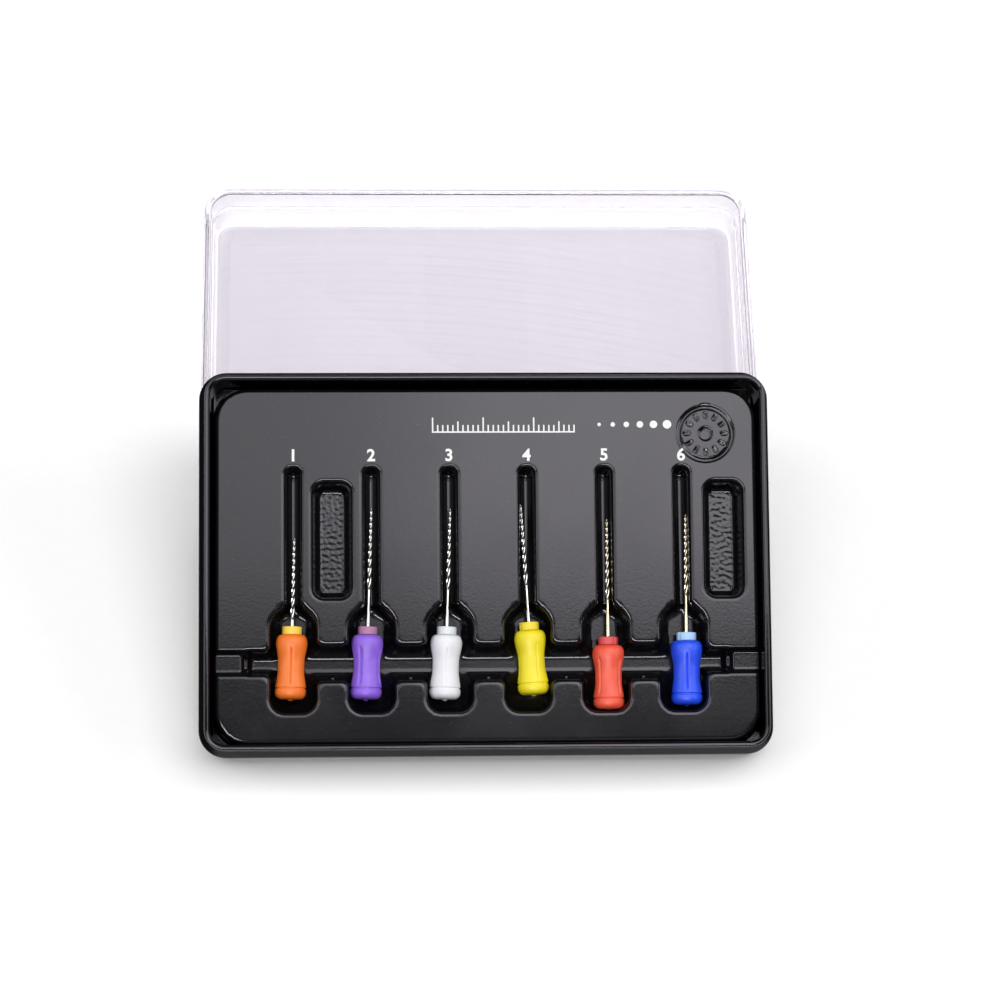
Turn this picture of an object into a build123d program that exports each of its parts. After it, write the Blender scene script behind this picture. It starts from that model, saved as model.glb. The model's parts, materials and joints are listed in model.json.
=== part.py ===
from build123d import *
import os
from math import cos, radians, sin, tan

# A boxed set of six endodontic hand files. The black tray leans on its clear lid, which lies
# open side up on the table. World frame: +X right, +Y away from the user, +Z up, origin in the
# middle of the footprint, with the tray's rounded front edge and the lid's outer face on Z = 0.
# Millimetres.

# ---- overall sizes ----
tray_width = 113.0
tray_depth = 76.0
tray_lean = 17.2  # degrees about X
edge_round = 0.8  # bottom edge of the base, which the tray leans on

# ---- base ----
base_height = 13.2
base_floor = 1.2
base_corner = 5.4
shoulder_height = 7.8  # ledge that the closed lid's rim sits on
shoulder_width = 1.35
collar_wall = 1.05

# ---- lid ----
lid_height = 13.4
lid_wall = 1.5
lid_panel = 1.2
lid_step = 0.6  # extra wall thickness below the skirt
lid_fit = 0.25  # clearance between the lid's skirt and the base's collar, per side
lid_round = 1.5
lid_floor_round = 1.2
lid_draft = 0.5
lid_rest_gap = 0.1  # between the lid's near rim and the tray's underside

# ---- formed insert ----
sheet = 0.6
insert_top = 8.8
insert_draft = 5.0
insert_corner = 5.6
insert_lip_fit = 0.15
plateau_left = 4.2  # margins from the base's outer faces to the plateau's edges
plateau_right = 3.6
plateau_front = 3.3
plateau_back = 4.4

# ---- file columns ----
column_count = 6
column_pitch = 15.34
column_shift = 0.44  # middle of the six columns, from the tray's middle

slot_width = 4.4
slot_depth = 4.3
slot_back = 57.5
slot_draft = 10.0
well_width = 10.6
well_depth = 5.8
well_foot_room = 0.8  # between the foremost handle's nub and the well's front edge
well_back = 26.3
well_corner = 3.7
well_draft = 10.0
neck_back = 29.8
neck_round = 1.6

# ---- finger trough across the wells ----
trough_front = 14.1
trough_back = 22.4
trough_draft = 24.0
trough_inset = 4.3  # plateau edge to the trough's ends
saddle_depth = 2.0
saddle_front = 15.4
saddle_back = 21.4

# ---- two spare-part pockets ----
pocket_width = 9.0
pocket_length = 24.3
pocket_front = 30.3
pocket_depth = 5.3
pocket_draft = 16.0
pocket_corner = 3.0
pocket_gap = 0.9  # slot edge to the pocket beside it
last_pocket_gap = 1.6

# ---- ring mark pressed into the plateau ----
ring_outer = 11.3
mark_width = 0.7
mark_press = 0.3
ring_right = 9.2  # ring centre, from the plateau's right edge
ring_back = 8.3
ring_boss = 2.6
ring_tick_count = 12
ring_tick_length = 1.2
ring_tick_width = 0.4

# ---- printed marks ----
ink = 0.06
numeral_height = 2.4
numeral_stroke = 0.4
numeral_gap = 1.75  # slot end to the numeral's middle
# Bars of a seven-bar numeral: place across, place up the slope, and whether it stands upright.
bar_places = {
    "top": (0, 1, 0),
    "middle": (0, 0, 0),
    "bottom": (0, -1, 0),
    "upper left": (-1, 0.5, 1),
    "upper right": (1, 0.5, 1),
    "lower left": (-1, -0.5, 1),
    "lower right": (1, -0.5, 1),
}
numeral_bars = [
    ("upper right", "lower right"),
    ("top", "upper right", "middle", "lower left", "bottom"),
    ("top", "upper right", "middle", "lower right", "bottom"),
    ("upper left", "middle", "upper right", "lower right"),
    ("top", "upper left", "middle", "lower right", "bottom"),
    ("top", "upper left", "middle", "lower left", "lower right", "bottom"),
]
scale_length = 28
scale_start = -10.4
scale_line_back = 7.8  # scale's lower edge, from the plateau's back edge
short_tick = 1.4
middle_tick = 2.1
long_tick = 2.9
tick_width = 0.28
dot_count = 6
dot_start = 22.6
dot_pitch = 2.7
dot_first = 0.7
dot_step = 0.2

# ---- file pieces ----
handle_length = 12.6
handle_face_radius = 2.3
handle_top_radius = 3.1
handle_waist_radius = 2.65
handle_foot_radius = 3.0
handle_end_round = 1.3
shoulder_place = 1.5  # along the handle, from its front face
waist_place = 6.9
ring_place = 10.3
ring_width = 0.25
ring_depth = 0.2
foot_flare = 0.15
groove_count = 4
groove_radius = 0.4
groove_depth = 0.25  # at the waist
groove_start = 2.6
groove_length = 7.0
gate_nub_radius = 0.5
gate_nub = 0.3

core_radius = 1.175  # the 2.35 mm shank that the handle is pushed onto
core_length = 10.6
core_recess = 0.6  # handle's front face to the core's front face
shaft_radius = 0.5
tang_radius = 0.42
tang_length = 6.0
blade_length = 16.0
tip_radius = 0.11
tip_length = 0.35
blade_neck = 2.2  # least plain shaft between the handle and the flutes

stop_radius = 1.95
stop_thickness = 1.6
stop_bore_play = 0.05
stop_slit = 0.3
stop_slit_depth = 0.9
stop_gap = 0.05  # between the stop and the handle's front face

handle_seat_gap = 0.05  # between the handle and the well's floor

# Each file rests where it was dropped. Its lean to one side is a share of the room between the
# handle and the well's wall: -1 would touch the left wall and 1 the right one.
# colour, column, lean in its well, handle's front face from the tray's front, turn about the
# tray's normal in degrees (positive turns the tip to the right), working length
files = [
    ("orange", 0, -0.3, 24.0, 1.6, 19.0),
    ("purple", 1, -0.6, 23.9, 1.9, 25.0),
    ("white", 2, -0.5, 23.8, 2.1, 25.0),
    ("yellow", 3, 0.45, 24.6, -3.4, 25.0),
    ("red", 4, 0.35, 21.6, 0.1, 25.0),
    ("blue", 5, 0.45, 22.4, 0.4, 25.0),
]

# ---- places that follow from the sizes ----
middle = tray_depth / 2
collar_width = tray_width - 2 * shoulder_width
collar_depth = tray_depth - 2 * shoulder_width
collar_corner = base_corner - shoulder_width
cavity_width = collar_width - 2 * collar_wall
cavity_depth = collar_depth - 2 * collar_wall
cavity_corner = collar_corner - collar_wall

skirt_width = collar_width + 2 * lid_fit
skirt_depth = collar_depth + 2 * lid_fit
skirt_corner = collar_corner + lid_fit
lid_width = skirt_width + 2 * lid_wall
lid_depth = skirt_depth + 2 * lid_wall
lid_corner = skirt_corner + lid_wall
skirt_drop = base_height - shoulder_height + lid_rest_gap

# The tray turns about the middle of its rounded front edge, so that edge rests on Z = 0. The
# near rim of the lid just clears the tray's underside. Distances are from that middle.
slope = cos(radians(tray_lean))
rise = sin(radians(tray_lean))
rim_reach = ((lid_height - edge_round) * slope + edge_round + lid_rest_gap) / rise
shoulder_reach = (shoulder_height - edge_round) * rise + edge_round * slope
collar_reach = (base_height - edge_round) * rise - (shoulder_width - edge_round) * slope
front_reach = max(shoulder_reach, collar_reach)
pivot = Vector(0, (front_reach - rim_reach - lid_depth) / 2, edge_round)
lean_y = Vector(0, slope, rise)
lean_z = Vector(0, -rise, slope)

# The tray's own plane: X along its length, Y up the slope from its front face, Z its normal.
tray = Plane(origin=pivot - (lean_y + lean_z) * edge_round, x_dir=(1, 0, 0), z_dir=lean_z)
lid_front = pivot.Y + rim_reach
lid_middle = lid_front + lid_depth / 2

left_edge = -tray_width / 2 + plateau_left
right_edge = tray_width / 2 - plateau_right
back_edge = tray_depth - plateau_back
plateau_middle = (left_edge + right_edge) / 2
plateau_width = right_edge - left_edge
plateau_depth = back_edge - plateau_front
columns = [
    column_shift + (i - (column_count - 1) / 2) * column_pitch
    for i in range(column_count)
]
pocket_lefts = [
    columns[0] + slot_width / 2 + pocket_gap,
    columns[-1] + slot_width / 2 + last_pocket_gap,
]
ring_radius = handle_foot_radius - ring_depth
foot_place = ring_place + ring_width
foot_end = handle_end_round - handle_length
groove_rise = groove_radius - groove_depth
bar_length = (numeral_height - numeral_stroke) / 2
axis_drop = well_depth - handle_top_radius - handle_seat_gap
file_height = insert_top - axis_drop
# The well's wall leans, so the handle's room is measured square to it, at the file's axis.
wall_reach = (well_width / 2 - axis_drop * tan(radians(well_draft))) * cos(radians(well_draft))
handle_room = (wall_reach - handle_top_radius) / cos(radians(well_draft))
foremost_face = min(face for _, _, _, face, _, _ in files)
well_front = foremost_face - handle_length - gate_nub - well_foot_room


def box_outline(width, depth, corner, grow=0.0):
    """Rounded rectangle, grown by the same amount on every side."""
    return RectangleRounded(width + 2 * grow, depth + 2 * grow, corner + grow)


def well_outline(x, grow):
    """One handle well with shoulders that narrow to its slot."""
    half = well_width / 2 + grow
    neck = slot_width / 2 + grow
    return Polygon(
        (x - half, well_front - grow),
        (x + half, well_front - grow),
        (x + half, well_back + grow),
        (x + neck, neck_back + grow),
        (x - neck, neck_back + grow),
        (x - half, well_back + grow),
        align=None,
    )


def hollow_block(grow):
    """The plateau block less every hollow.

    grow = 0 gives the insert's outside, and grow = sheet the space underneath its sheet.
    """
    top = insert_top - grow
    with BuildPart() as block:
        with BuildSketch(tray.offset(top)):
            with Locations((plateau_middle, plateau_front + plateau_depth / 2)):
                box_outline(plateau_width, plateau_depth, insert_corner, -grow)
        extrude(amount=-(top - base_floor), taper=-insert_draft)

        with BuildSketch(tray.offset(top)):
            for x in columns:
                with Locations((x, (slot_back + well_back) / 2)):
                    reach = slot_back - well_back + 2 * grow
                    SlotOverall(reach, slot_width + 2 * grow, rotation=90)
        extrude(amount=-slot_depth, taper=slot_draft, mode=Mode.SUBTRACT)

        with BuildSketch(tray.offset(top)) as wells:
            for x in columns:
                well_outline(x, grow)
            fillet(wells.vertices().group_by(Axis.Y)[0], radius=well_corner + grow)
            fillet(
                wells.vertices().filter_by_position(
                    Axis.Y, well_back + grow - sheet, well_back + grow + sheet
                ),
                radius=neck_round,
            )
        extrude(amount=-well_depth, taper=well_draft, mode=Mode.SUBTRACT)

        with BuildSketch(tray.offset(top)):
            with Locations((plateau_middle, (trough_front + trough_back) / 2)):
                length = plateau_width - 2 * trough_inset
                width = trough_back - trough_front
                Rectangle(length + 2 * grow, width + 2 * grow)
        extrude(amount=-well_depth, taper=trough_draft, mode=Mode.SUBTRACT)

        with BuildSketch(tray.offset(top)):
            with Locations((plateau_middle, (saddle_front + saddle_back) / 2)):
                Rectangle(tray_width, saddle_back - saddle_front + 2 * grow)
        extrude(amount=-saddle_depth, mode=Mode.SUBTRACT)

        with BuildSketch(tray.offset(top)):
            for left in pocket_lefts:
                place = (left + pocket_width / 2, pocket_front + pocket_length / 2)
                with Locations(place):
                    box_outline(pocket_width, pocket_length, pocket_corner, grow)
        extrude(amount=-pocket_depth, taper=pocket_draft, mode=Mode.SUBTRACT)
    return block.part


def file_plane(spec):
    """Plane of one file: origin on its axis at the handle's front face, X towards the tip."""
    _, column, share, face, turn, _ = spec
    along = Vector(sin(radians(turn)), cos(radians(turn)), 0)
    shift = share * handle_room
    waist = Vector(columns[column] + shift, face - handle_length / 2, file_height)
    start = waist + along * (handle_length / 2)
    return Plane(
        origin=tray.from_local_coords(start),
        x_dir=tray.from_local_coords(along) - tray.origin,
        z_dir=tray.z_dir,
    )


def across(plane, place):
    """Plane square to a file's axis, at a place along it."""
    return Plane(
        origin=plane.from_local_coords(Vector(place, 0, 0)),
        x_dir=plane.y_dir,
        z_dir=plane.x_dir,
    )


def finish(piece, node):
    """Label one finished piece and write it."""
    piece.part.label = node
    export_step(piece.part, f"parts/{node}.step")


def lowest_edges(piece, direction):
    """Edges of the face that lies furthest down one direction."""
    return piece.faces().sort_by(Axis((0, 0, 0), direction))[0].edges()


os.makedirs("parts", exist_ok=True)

# ---- base: a thick lower wall, a shoulder for the lid's rim, and a thin collar ----
with BuildPart() as base:
    with BuildSketch(tray):
        with Locations((0, middle)):
            box_outline(tray_width, tray_depth, base_corner)
    extrude(amount=shoulder_height)
    fillet(lowest_edges(base, tray.z_dir), radius=edge_round)
    with BuildSketch(tray.offset(shoulder_height)):
        with Locations((0, middle)):
            box_outline(collar_width, collar_depth, collar_corner)
    extrude(amount=base_height - shoulder_height)
    with BuildSketch(tray.offset(base_floor)):
        with Locations((0, middle)):
            box_outline(cavity_width, cavity_depth, cavity_corner)
    extrude(amount=base_height - base_floor, mode=Mode.SUBTRACT)
finish(base, "base")

# ---- insert: one formed sheet with slots, wells, trough, pockets and a locating lip ----
with BuildPart() as insert:
    add(hollow_block(0))
    with BuildSketch(tray.offset(base_floor)):
        with Locations((0, middle)):
            box_outline(cavity_width, cavity_depth, cavity_corner, -insert_lip_fit)
    extrude(amount=sheet)
    add(hollow_block(sheet), mode=Mode.SUBTRACT)
    with BuildSketch(tray.offset(insert_top)):
        with Locations((right_edge - ring_right, back_edge - ring_back)):
            Circle(ring_outer / 2)
            Circle(ring_outer / 2 - mark_width, mode=Mode.SUBTRACT)
            Circle(ring_boss / 2)
            tick_middle = ring_outer / 2 - mark_width - ring_tick_length
            with PolarLocations(tick_middle, ring_tick_count):
                Rectangle(ring_tick_length, ring_tick_width)
    extrude(amount=-mark_press, mode=Mode.SUBTRACT)
finish(insert, "insert")

# ---- printed numerals, one over each slot ----
with BuildPart() as numerals:
    with BuildSketch(tray.offset(insert_top)):
        for x, bars in zip(columns, numeral_bars):
            for bar in bars:
                across_place, up_place, upright = bar_places[bar]
                length = bar_length + numeral_stroke
                place = (
                    x + across_place * bar_length / 2,
                    slot_back + numeral_gap + up_place * bar_length,
                )
                with Locations(place):
                    Rectangle(length, numeral_stroke, rotation=90 * upright)
    extrude(amount=ink)
finish(numerals, "printed_numerals")

# ---- printed length scale: a line with a tick every millimetre ----
scale_base = back_edge - scale_line_back
with BuildPart() as scale:
    with BuildSketch(tray.offset(insert_top)):
        with Locations((scale_start + scale_length / 2, scale_base)):
            Rectangle(scale_length + tick_width, tick_width)
        for step in range(scale_length + 1):
            height = short_tick
            if step % 5 == 0:
                height = middle_tick
            if step % 10 == 0:
                height = long_tick
            with Locations((scale_start + step, scale_base + height / 2)):
                Rectangle(tick_width, height)
    extrude(amount=ink)
finish(scale, "printed_scale")

# ---- printed row of growing dots ----
with BuildPart() as dots:
    with BuildSketch(tray.offset(insert_top)):
        for i in range(dot_count):
            with Locations((dot_start + i * dot_pitch, scale_base + long_tick / 2)):
                Circle((dot_first + i * dot_step) / 2)
    extrude(amount=ink)
finish(dots, "printed_dots")

# ---- lid: lies open side up, its rim wider than its panel by the draft ----
with BuildPart() as lid:
    with BuildSketch(Plane.XY.offset(lid_height)):
        with Locations((0, lid_middle)):
            box_outline(lid_width, lid_depth, lid_corner)
    extrude(amount=-lid_height, taper=lid_draft)
    fillet(lowest_edges(lid, (0, 0, 1)), radius=lid_round)
    with BuildSketch(Plane.XY.offset(lid_height)):
        with Locations((0, lid_middle)):
            box_outline(skirt_width, skirt_depth, skirt_corner)
    extrude(amount=-skirt_drop, mode=Mode.SUBTRACT)
    with BuildSketch(Plane.XY.offset(lid_height - skirt_drop)):
        with Locations((0, lid_middle)):
            box_outline(skirt_width, skirt_depth, skirt_corner, -lid_step)
    extrude(amount=lid_panel + skirt_drop - lid_height, taper=lid_draft, mode=Mode.SUBTRACT)
    floor_face = lid.faces().filter_by(Plane.XY).sort_by(Axis.Z)[1]
    fillet(floor_face.edges(), radius=lid_floor_round)
finish(lid, "lid")

# ---- six files: handle, core, blade and stop ----
for spec in files:
    colour = spec[0]
    working_length = spec[5]
    line = file_plane(spec)
    spin = Axis(line.origin, line.x_dir)

    with BuildPart() as handle:
        with BuildSketch(line):
            with BuildLine():
                Line((0, 0), (0, handle_face_radius))
                Spline(
                    (0, handle_face_radius),
                    (-shoulder_place, handle_top_radius),
                    (-waist_place, handle_waist_radius),
                    (-ring_place, handle_foot_radius),
                    tangents=((0, 1), (-1, foot_flare)),
                )
                Line((-ring_place, handle_foot_radius), (-ring_place, ring_radius))
                Line((-ring_place, ring_radius), (-foot_place, ring_radius))
                Line((-foot_place, ring_radius), (-foot_place, handle_foot_radius))
                Line((-foot_place, handle_foot_radius), (foot_end, handle_foot_radius))
                RadiusArc(
                    (foot_end, handle_foot_radius),
                    (-handle_length, handle_foot_radius - handle_end_round),
                    -handle_end_round,
                )
                Line((-handle_length, handle_foot_radius - handle_end_round), (-handle_length, 0))
                Line((-handle_length, 0), (0, 0))
            make_face()
        revolve(axis=spin)
        with BuildSketch(across(line, -handle_length)):
            Circle(gate_nub_radius)
        extrude(amount=-gate_nub)
        with BuildSketch(across(line, -groove_start)):
            with PolarLocations(handle_waist_radius + groove_rise, groove_count):
                Circle(groove_radius)
        extrude(amount=-groove_length, mode=Mode.SUBTRACT)
        with BuildSketch(across(line, -core_length - core_recess)):
            Circle(core_radius)
        extrude(amount=core_length + core_recess, mode=Mode.SUBTRACT)
    finish(handle, f"{colour}_handle")

    with BuildPart() as core:
        with BuildSketch(across(line, -core_length - core_recess)):
            Circle(core_radius)
        extrude(amount=core_length)
        with BuildSketch(across(line, -core_recess - tang_length)):
            Circle(tang_radius)
        extrude(amount=tang_length, mode=Mode.SUBTRACT)
    finish(core, f"{colour}_core")

    with BuildPart() as blade:
        with BuildSketch(line):
            with BuildLine():
                Polyline(
                    (-core_recess - tang_length, 0),
                    (-core_recess - tang_length, tang_radius),
                    (-core_recess, tang_radius),
                    (-core_recess, shaft_radius),
                    (max(working_length - blade_length, blade_neck), shaft_radius),
                    (working_length - tip_length, tip_radius),
                    (working_length, 0),
                    close=True,
                )
            make_face()
        revolve(axis=spin)
    finish(blade, f"{colour}_blade")

    with BuildPart() as stop:
        with BuildSketch(across(line, stop_gap)):
            Circle(stop_radius)
            Circle(shaft_radius + stop_bore_play, mode=Mode.SUBTRACT)
            with Locations((stop_radius - stop_slit_depth / 2, 0)):
                Rectangle(stop_slit_depth, stop_slit, mode=Mode.SUBTRACT)
        extrude(amount=stop_thickness)
    finish(stop, f"{colour}_stop")
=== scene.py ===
# %% [markdown]
# # A boxed set of endodontic hand files
# A dentist's hand files come in a shallow black box: a glossy base, a vacuum-formed insert that
# cradles six files, and a clear lid. Here the box leans on its own lid, which lies open side up.
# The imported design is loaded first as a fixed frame. Every size below is in millimetres, and one
# helper turns millimetres in the tray's own slanted axes into metres in the frame.

import json
import math

import bpy
import numpy as np
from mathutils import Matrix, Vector


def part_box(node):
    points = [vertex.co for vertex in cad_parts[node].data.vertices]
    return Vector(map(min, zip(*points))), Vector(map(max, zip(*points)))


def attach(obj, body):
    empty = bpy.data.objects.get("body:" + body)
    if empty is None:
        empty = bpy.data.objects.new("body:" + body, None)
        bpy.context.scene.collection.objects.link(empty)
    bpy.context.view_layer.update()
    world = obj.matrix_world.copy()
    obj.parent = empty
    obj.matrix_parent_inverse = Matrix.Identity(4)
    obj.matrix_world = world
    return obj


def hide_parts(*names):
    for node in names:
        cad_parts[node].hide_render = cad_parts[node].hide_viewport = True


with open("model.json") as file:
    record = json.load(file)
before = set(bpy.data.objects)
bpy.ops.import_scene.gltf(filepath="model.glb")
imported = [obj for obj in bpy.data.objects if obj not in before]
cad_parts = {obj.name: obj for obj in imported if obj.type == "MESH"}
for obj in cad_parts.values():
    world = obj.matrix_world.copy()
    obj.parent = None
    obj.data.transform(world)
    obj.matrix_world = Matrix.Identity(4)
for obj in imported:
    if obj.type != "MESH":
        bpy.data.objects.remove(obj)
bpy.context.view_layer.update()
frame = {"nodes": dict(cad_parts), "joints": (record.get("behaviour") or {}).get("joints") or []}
MM = 0.001
JOINTS = {joint["name"]: joint for joint in frame["joints"]}
COLOURS = ["orange", "purple", "white", "yellow", "red", "blue"]


# %% [markdown]
# ## The tray's own axes
# The tray leans, and so does everything in it. A file lifts straight out of its slot, so the axis
# of any lift joint is the tray's normal. The base's front corner gives the origin. Each file has
# axes of its own too: its stop slides along the shaft, and the middle of its core lies on it.

# %% Axes of the tray and of each file
BASE_HEIGHT = 13.2
SHOULDER_HEIGHT = 7.8
SHOULDER_WIDTH = 1.35
EDGE_ROUND = 0.8
CORE_LENGTH = 10.6
CORE_RECESS = 0.6


def unit(vector):
    vector = np.array(vector, float)
    return vector / np.linalg.norm(vector)


class Axes:
    """A slanted set of axes in the frame, with its origin and directions in millimetres."""

    def __init__(self, origin, x, y, z):
        self.origin = np.array(origin, float)
        self.turn = np.array([x, y, z], float)

    def place(self, points):
        """Millimetres in these axes to metres in the frame."""
        return (self.origin + np.asarray(points, float) @ self.turn) * MM


ACROSS = np.array([1.0, 0.0, 0.0])
NORMAL = unit(JOINTS["orange_file_lift"]["axis"])
UP_SLOPE = np.cross(NORMAL, ACROSS)
SLOPE, RISE = UP_SLOPE[1], UP_SLOPE[2]
base_low, base_high = (np.array(corner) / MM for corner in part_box("base"))
lid_low, lid_high = (np.array(corner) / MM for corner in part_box("lid"))
tray_front = base_low[1] - SHOULDER_WIDTH * SLOPE + BASE_HEIGHT * RISE
TRAY = Axes((0, tray_front, EDGE_ROUND * (1 - SLOPE - RISE)), ACROSS, UP_SLOPE, NORMAL)
TRAY_WIDTH = base_high[0] - base_low[0]
TRAY_DEPTH = (base_high[1] - tray_front - EDGE_ROUND + EDGE_ROUND * (RISE + SLOPE)) / SLOPE


def file_axes(colour):
    """X along the file to its tip, Z the tray's normal, origin at the handle's front face."""
    along = unit(JOINTS[f"{colour}_stop_slide"]["axis"])
    low, high = (np.array(corner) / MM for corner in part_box(f"{colour}_core"))
    front = (low + high) / 2 + along * (CORE_RECESS + CORE_LENGTH / 2)
    return Axes(front, along, np.cross(NORMAL, along), NORMAL)


FILES = {colour: file_axes(colour) for colour in COLOURS}
print("tray", round(TRAY_WIDTH, 2), "by", round(TRAY_DEPTH, 2), "mm, lean",
      round(math.degrees(math.asin(RISE)), 2), "degrees")


# %% [markdown]
# ## Camera, floor and light
# The camera looks down at the tray from in front and a little from the left, through a long
# lens, so the tray keeps nearly parallel sides. Black plastic shows only what it mirrors, so the
# lamps are broad and soft. Two overhead lamps stand side by side with the right one stronger, and
# strips at the sides draw the thin bright lines along each rounded edge. A fill from the front
# lights colours but isn't mirrored, and a narrow glint is only mirrored. The floor glows a little
# too, to lift its shadows. A camera is best placed first: every finish is judged through it.

# %% Camera
scene = bpy.context.scene
scene.view_settings.view_transform = "Standard"
CAMERA_PLACE = (-0.0277, -0.2439, 0.5560)
CAMERA_TURN = (23.39, -2.68, -1.38)
LENS = 106.1

camera_data = bpy.data.cameras.new("camera")
camera_data.lens = LENS
camera = bpy.data.objects.new("camera", camera_data)
scene.collection.objects.link(camera)
camera.location = CAMERA_PLACE
camera.rotation_euler = [math.radians(angle) for angle in CAMERA_TURN]
scene.camera = camera
print("camera", LENS, "mm lens, looking down", round(90 - CAMERA_TURN[0], 1), "degrees")


# %% Lamps and surroundings
def soft_lamp(name, place, target, size, power, mirrored=True):
    """A rectangular lamp that faces a target. Size is (across, along) in metres."""
    data = bpy.data.lights.new(name, "AREA")
    data.shape = "RECTANGLE"
    data.size, data.size_y = size
    data.energy = power
    lamp = bpy.data.objects.new(name, data)
    scene.collection.objects.link(lamp)
    lamp.location = place
    facing = Vector(target) - Vector(place)
    lamp.rotation_euler = facing.to_track_quat("-Z", "Y").to_euler()
    lamp.visible_glossy = mirrored
    return lamp


soft_lamp("overhead_left", (-0.375, 0.06, 1.00), (-0.375, 0.06, 0), (0.77, 0.66), 3.9)
soft_lamp("overhead_right", (0.385, 0.06, 1.00), (0.385, 0.06, 0), (0.75, 0.66), 6.6)
soft_lamp("left_strip", (-1.00, 0.00, 0.60), (0, 0, 0), (0.9, 0.30), 3.8)
soft_lamp("right_strip", (1.00, 0.00, 0.60), (0, 0, 0), (0.9, 0.30), 3.8)
soft_lamp("front_fill", (0.0, -1.10, 0.80), (0, 0, 0), (1.0, 0.30), 2.6, mirrored=False)
front_glint = soft_lamp("front_glint", (-0.15, -0.62, 0.86), (0, 0, 0), (0.9, 0.14), 7.5)
front_glint.visible_diffuse = False

world = bpy.data.worlds.new("studio")
scene.world = world
world.use_nodes = True
WORLD_LIGHT = 0.04
world.node_tree.nodes["Background"].inputs["Color"].default_value = (1, 1, 1, 1)
world.node_tree.nodes["Background"].inputs["Strength"].default_value = WORLD_LIGHT


# %% [markdown]
# ## Materials
# A material here is a Principled shader with procedural detail feeding its roughness, colour and
# bump. Patterns read Object coordinates, which are metres in the frame, so a scale of 1000 means
# one feature a millimetre. The formed sheet has a faint orange peel, the moulded base a gloss with
# fine rub marks, silicone a soft skin, and ground metal fine grinding lines.

# %% Material helpers
def new_material(name):
    """An empty material, and its Principled shader."""
    material = bpy.data.materials.new(name)
    material.use_nodes = True
    return material, material.node_tree.nodes["Principled BSDF"]


def node(material, kind, links=(), **values):
    """Adds a node, sets its properties, and links (input name, source socket) pairs."""
    made = material.node_tree.nodes.new(kind)
    for key, value in values.items():
        if hasattr(made, key):
            setattr(made, key, value)
        else:
            made.inputs[key.replace("_", " ").capitalize()].default_value = value
    for name, source in links:
        material.node_tree.links.new(source, made.inputs[name])
    return made


def object_place(material, scale=(1, 1, 1), turn=(0, 0, 0)):
    """Object coordinates, scaled and turned by a Mapping node."""
    coordinates = node(material, "ShaderNodeTexCoord")
    mapping = node(material, "ShaderNodeMapping", [("Vector", coordinates.outputs["Object"])])
    mapping.inputs["Scale"].default_value = scale
    mapping.inputs["Rotation"].default_value = turn
    return mapping.outputs["Vector"]


def noise(material, place, scale, detail=3.0, rough=0.5):
    """Noise of one feature size; scale is features a metre."""
    made = node(material, "ShaderNodeTexNoise", [("Vector", place)])
    made.inputs["Scale"].default_value = scale
    made.inputs["Detail"].default_value = detail
    made.inputs["Roughness"].default_value = rough
    return made.outputs["Fac"]


def spread(material, source, low, high, out_low, out_high):
    """Maps a range of a pattern onto a range of values."""
    made = node(material, "ShaderNodeMapRange", [("Value", source)])
    names = ("From Min", "From Max", "To Min", "To Max")
    for name, value in zip(names, (low, high, out_low, out_high)):
        made.inputs[name].default_value = value
    return made.outputs["Result"]


def blend_colours(material, factor, first, second):
    """Mixes two colours by a pattern; each is a colour or another pattern's output."""
    made = node(material, "ShaderNodeMix", data_type="RGBA")
    material.node_tree.links.new(factor, made.inputs["Factor"])
    for slot, colour in ((6, first), (7, second)):
        if isinstance(colour, tuple):
            made.inputs[slot].default_value = (*colour, 1)
        else:
            material.node_tree.links.new(colour, made.inputs[slot])
    return made.outputs[2]


def bump(material, shader, height, distance, strength=1.0):
    """Feeds a height pattern to the shader's normal. Distance is in metres."""
    made = node(material, "ShaderNodeBump", [("Height", height)])
    made.inputs["Distance"].default_value = distance
    made.inputs["Strength"].default_value = strength
    material.node_tree.links.new(made.outputs["Normal"], shader.inputs["Normal"])


def link(material, source, shader, name):
    material.node_tree.links.new(source, shader.inputs[name])


GLOSS_TINT = (0.95, 0.92, 1.0, 1)


def black_plastic(name, colour, roughness, peel, peel_size, specks):
    """Black moulded or formed plastic: peel in its gloss, rub marks, and a little pale dust."""
    material, shader = new_material(name)
    shader.inputs["Specular Tint"].default_value = GLOSS_TINT
    place = object_place(material)
    cloud = noise(material, place, 60, 4)
    marks = noise(material, place, 900, 6, 0.7)
    wear = spread(material, cloud, 0.3, 0.7, roughness * 0.85, roughness * 1.2)
    total = node(material, "ShaderNodeMath", operation="MULTIPLY_ADD")
    material.node_tree.links.new(marks, total.inputs[0])
    total.inputs[1].default_value = roughness * 0.35
    material.node_tree.links.new(wear, total.inputs[2])
    link(material, total.outputs[0], shader, "Roughness")
    dust = spread(material, noise(material, place, 4200, 1, 0.2), specks, specks + 0.03, 0, 1)
    pale = tuple(c + 0.05 for c in colour)
    link(material, blend_colours(material, dust, colour, pale), shader, "Base Color")
    bump(material, shader, noise(material, place, 1000 / peel_size, 2), peel * MM, 0.6)
    return material


def silicone(name, colour, shade, roughness=0.42):
    """Moulded silicone: light scatters a little under a skin with a fine grain."""
    material, shader = new_material(name)
    place = object_place(material)
    cloud = noise(material, place, 350, 3)
    tone = blend_colours(material, spread(material, cloud, 0.3, 0.7, 0, 1), colour, shade)
    link(material, tone, shader, "Base Color")
    grain = noise(material, place, 5000, 3)
    link(material, spread(material, grain, 0.2, 0.8, roughness - 0.06, roughness + 0.08),
         shader, "Roughness")
    shader.inputs["Subsurface Weight"].default_value = 0.06
    shader.inputs["Subsurface Scale"].default_value = 0.6 * MM
    shader.inputs["Subsurface Radius"].default_value = (1.0, 0.6, 0.4)
    bump(material, shader, grain, 0.02 * MM, 0.5)
    return material


# Cut grooves get a near-black colour: painted shade standing in for the dark slot they mirror.
GROOVE_EDGE, GROOVE_PAINTED_SHADE = 0.3, (0.03, 0.03, 0.03)


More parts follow.
